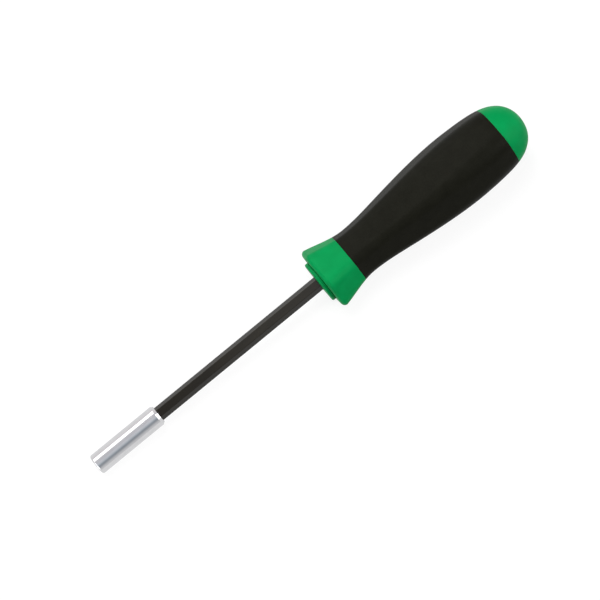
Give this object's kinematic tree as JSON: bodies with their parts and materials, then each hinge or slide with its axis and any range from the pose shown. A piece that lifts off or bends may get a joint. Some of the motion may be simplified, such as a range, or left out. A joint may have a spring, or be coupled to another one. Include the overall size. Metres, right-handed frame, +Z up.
{
  "type": "bit holder screwdriver",
  "caption": "Hand screwdriver with a magnetic hexagon socket in a bright sleeve, a black hexagonal shaft and a black soft-grip handle with green collar and end cap.",
  "frame": {"origin": "middle of the bit socket's mouth, on the tool's axis", "axes": "+X along the tool from the socket's mouth to the end of the handle, +Z up out of one flat of the six-sided handle as the tool lies on a table"},
  "size_m": [0.2594, 0.036, 0.0338],
  "materials": {
    "bright_steel": "satin bright plating",
    "spring_steel": "drawn spring wire",
    "magnet_plating": "nickel plating",
    "black_steel": "satin black finish on hexagonal bar",
    "green_plastic": "satin moulded plastic",
    "black_rubber": "matte fine-grained soft grip"
  },
  "bodies": {
    "root": {"bit_sleeve": "bright_steel", "retaining_ring": "spring_steel", "socket_magnet": "magnet_plating", "hex_shaft": "black_steel", "handle_core": "green_plastic", "front_collar": "green_plastic", "grip": "black_rubber", "end_cap": "green_plastic"}
  },
  "joints": []
}
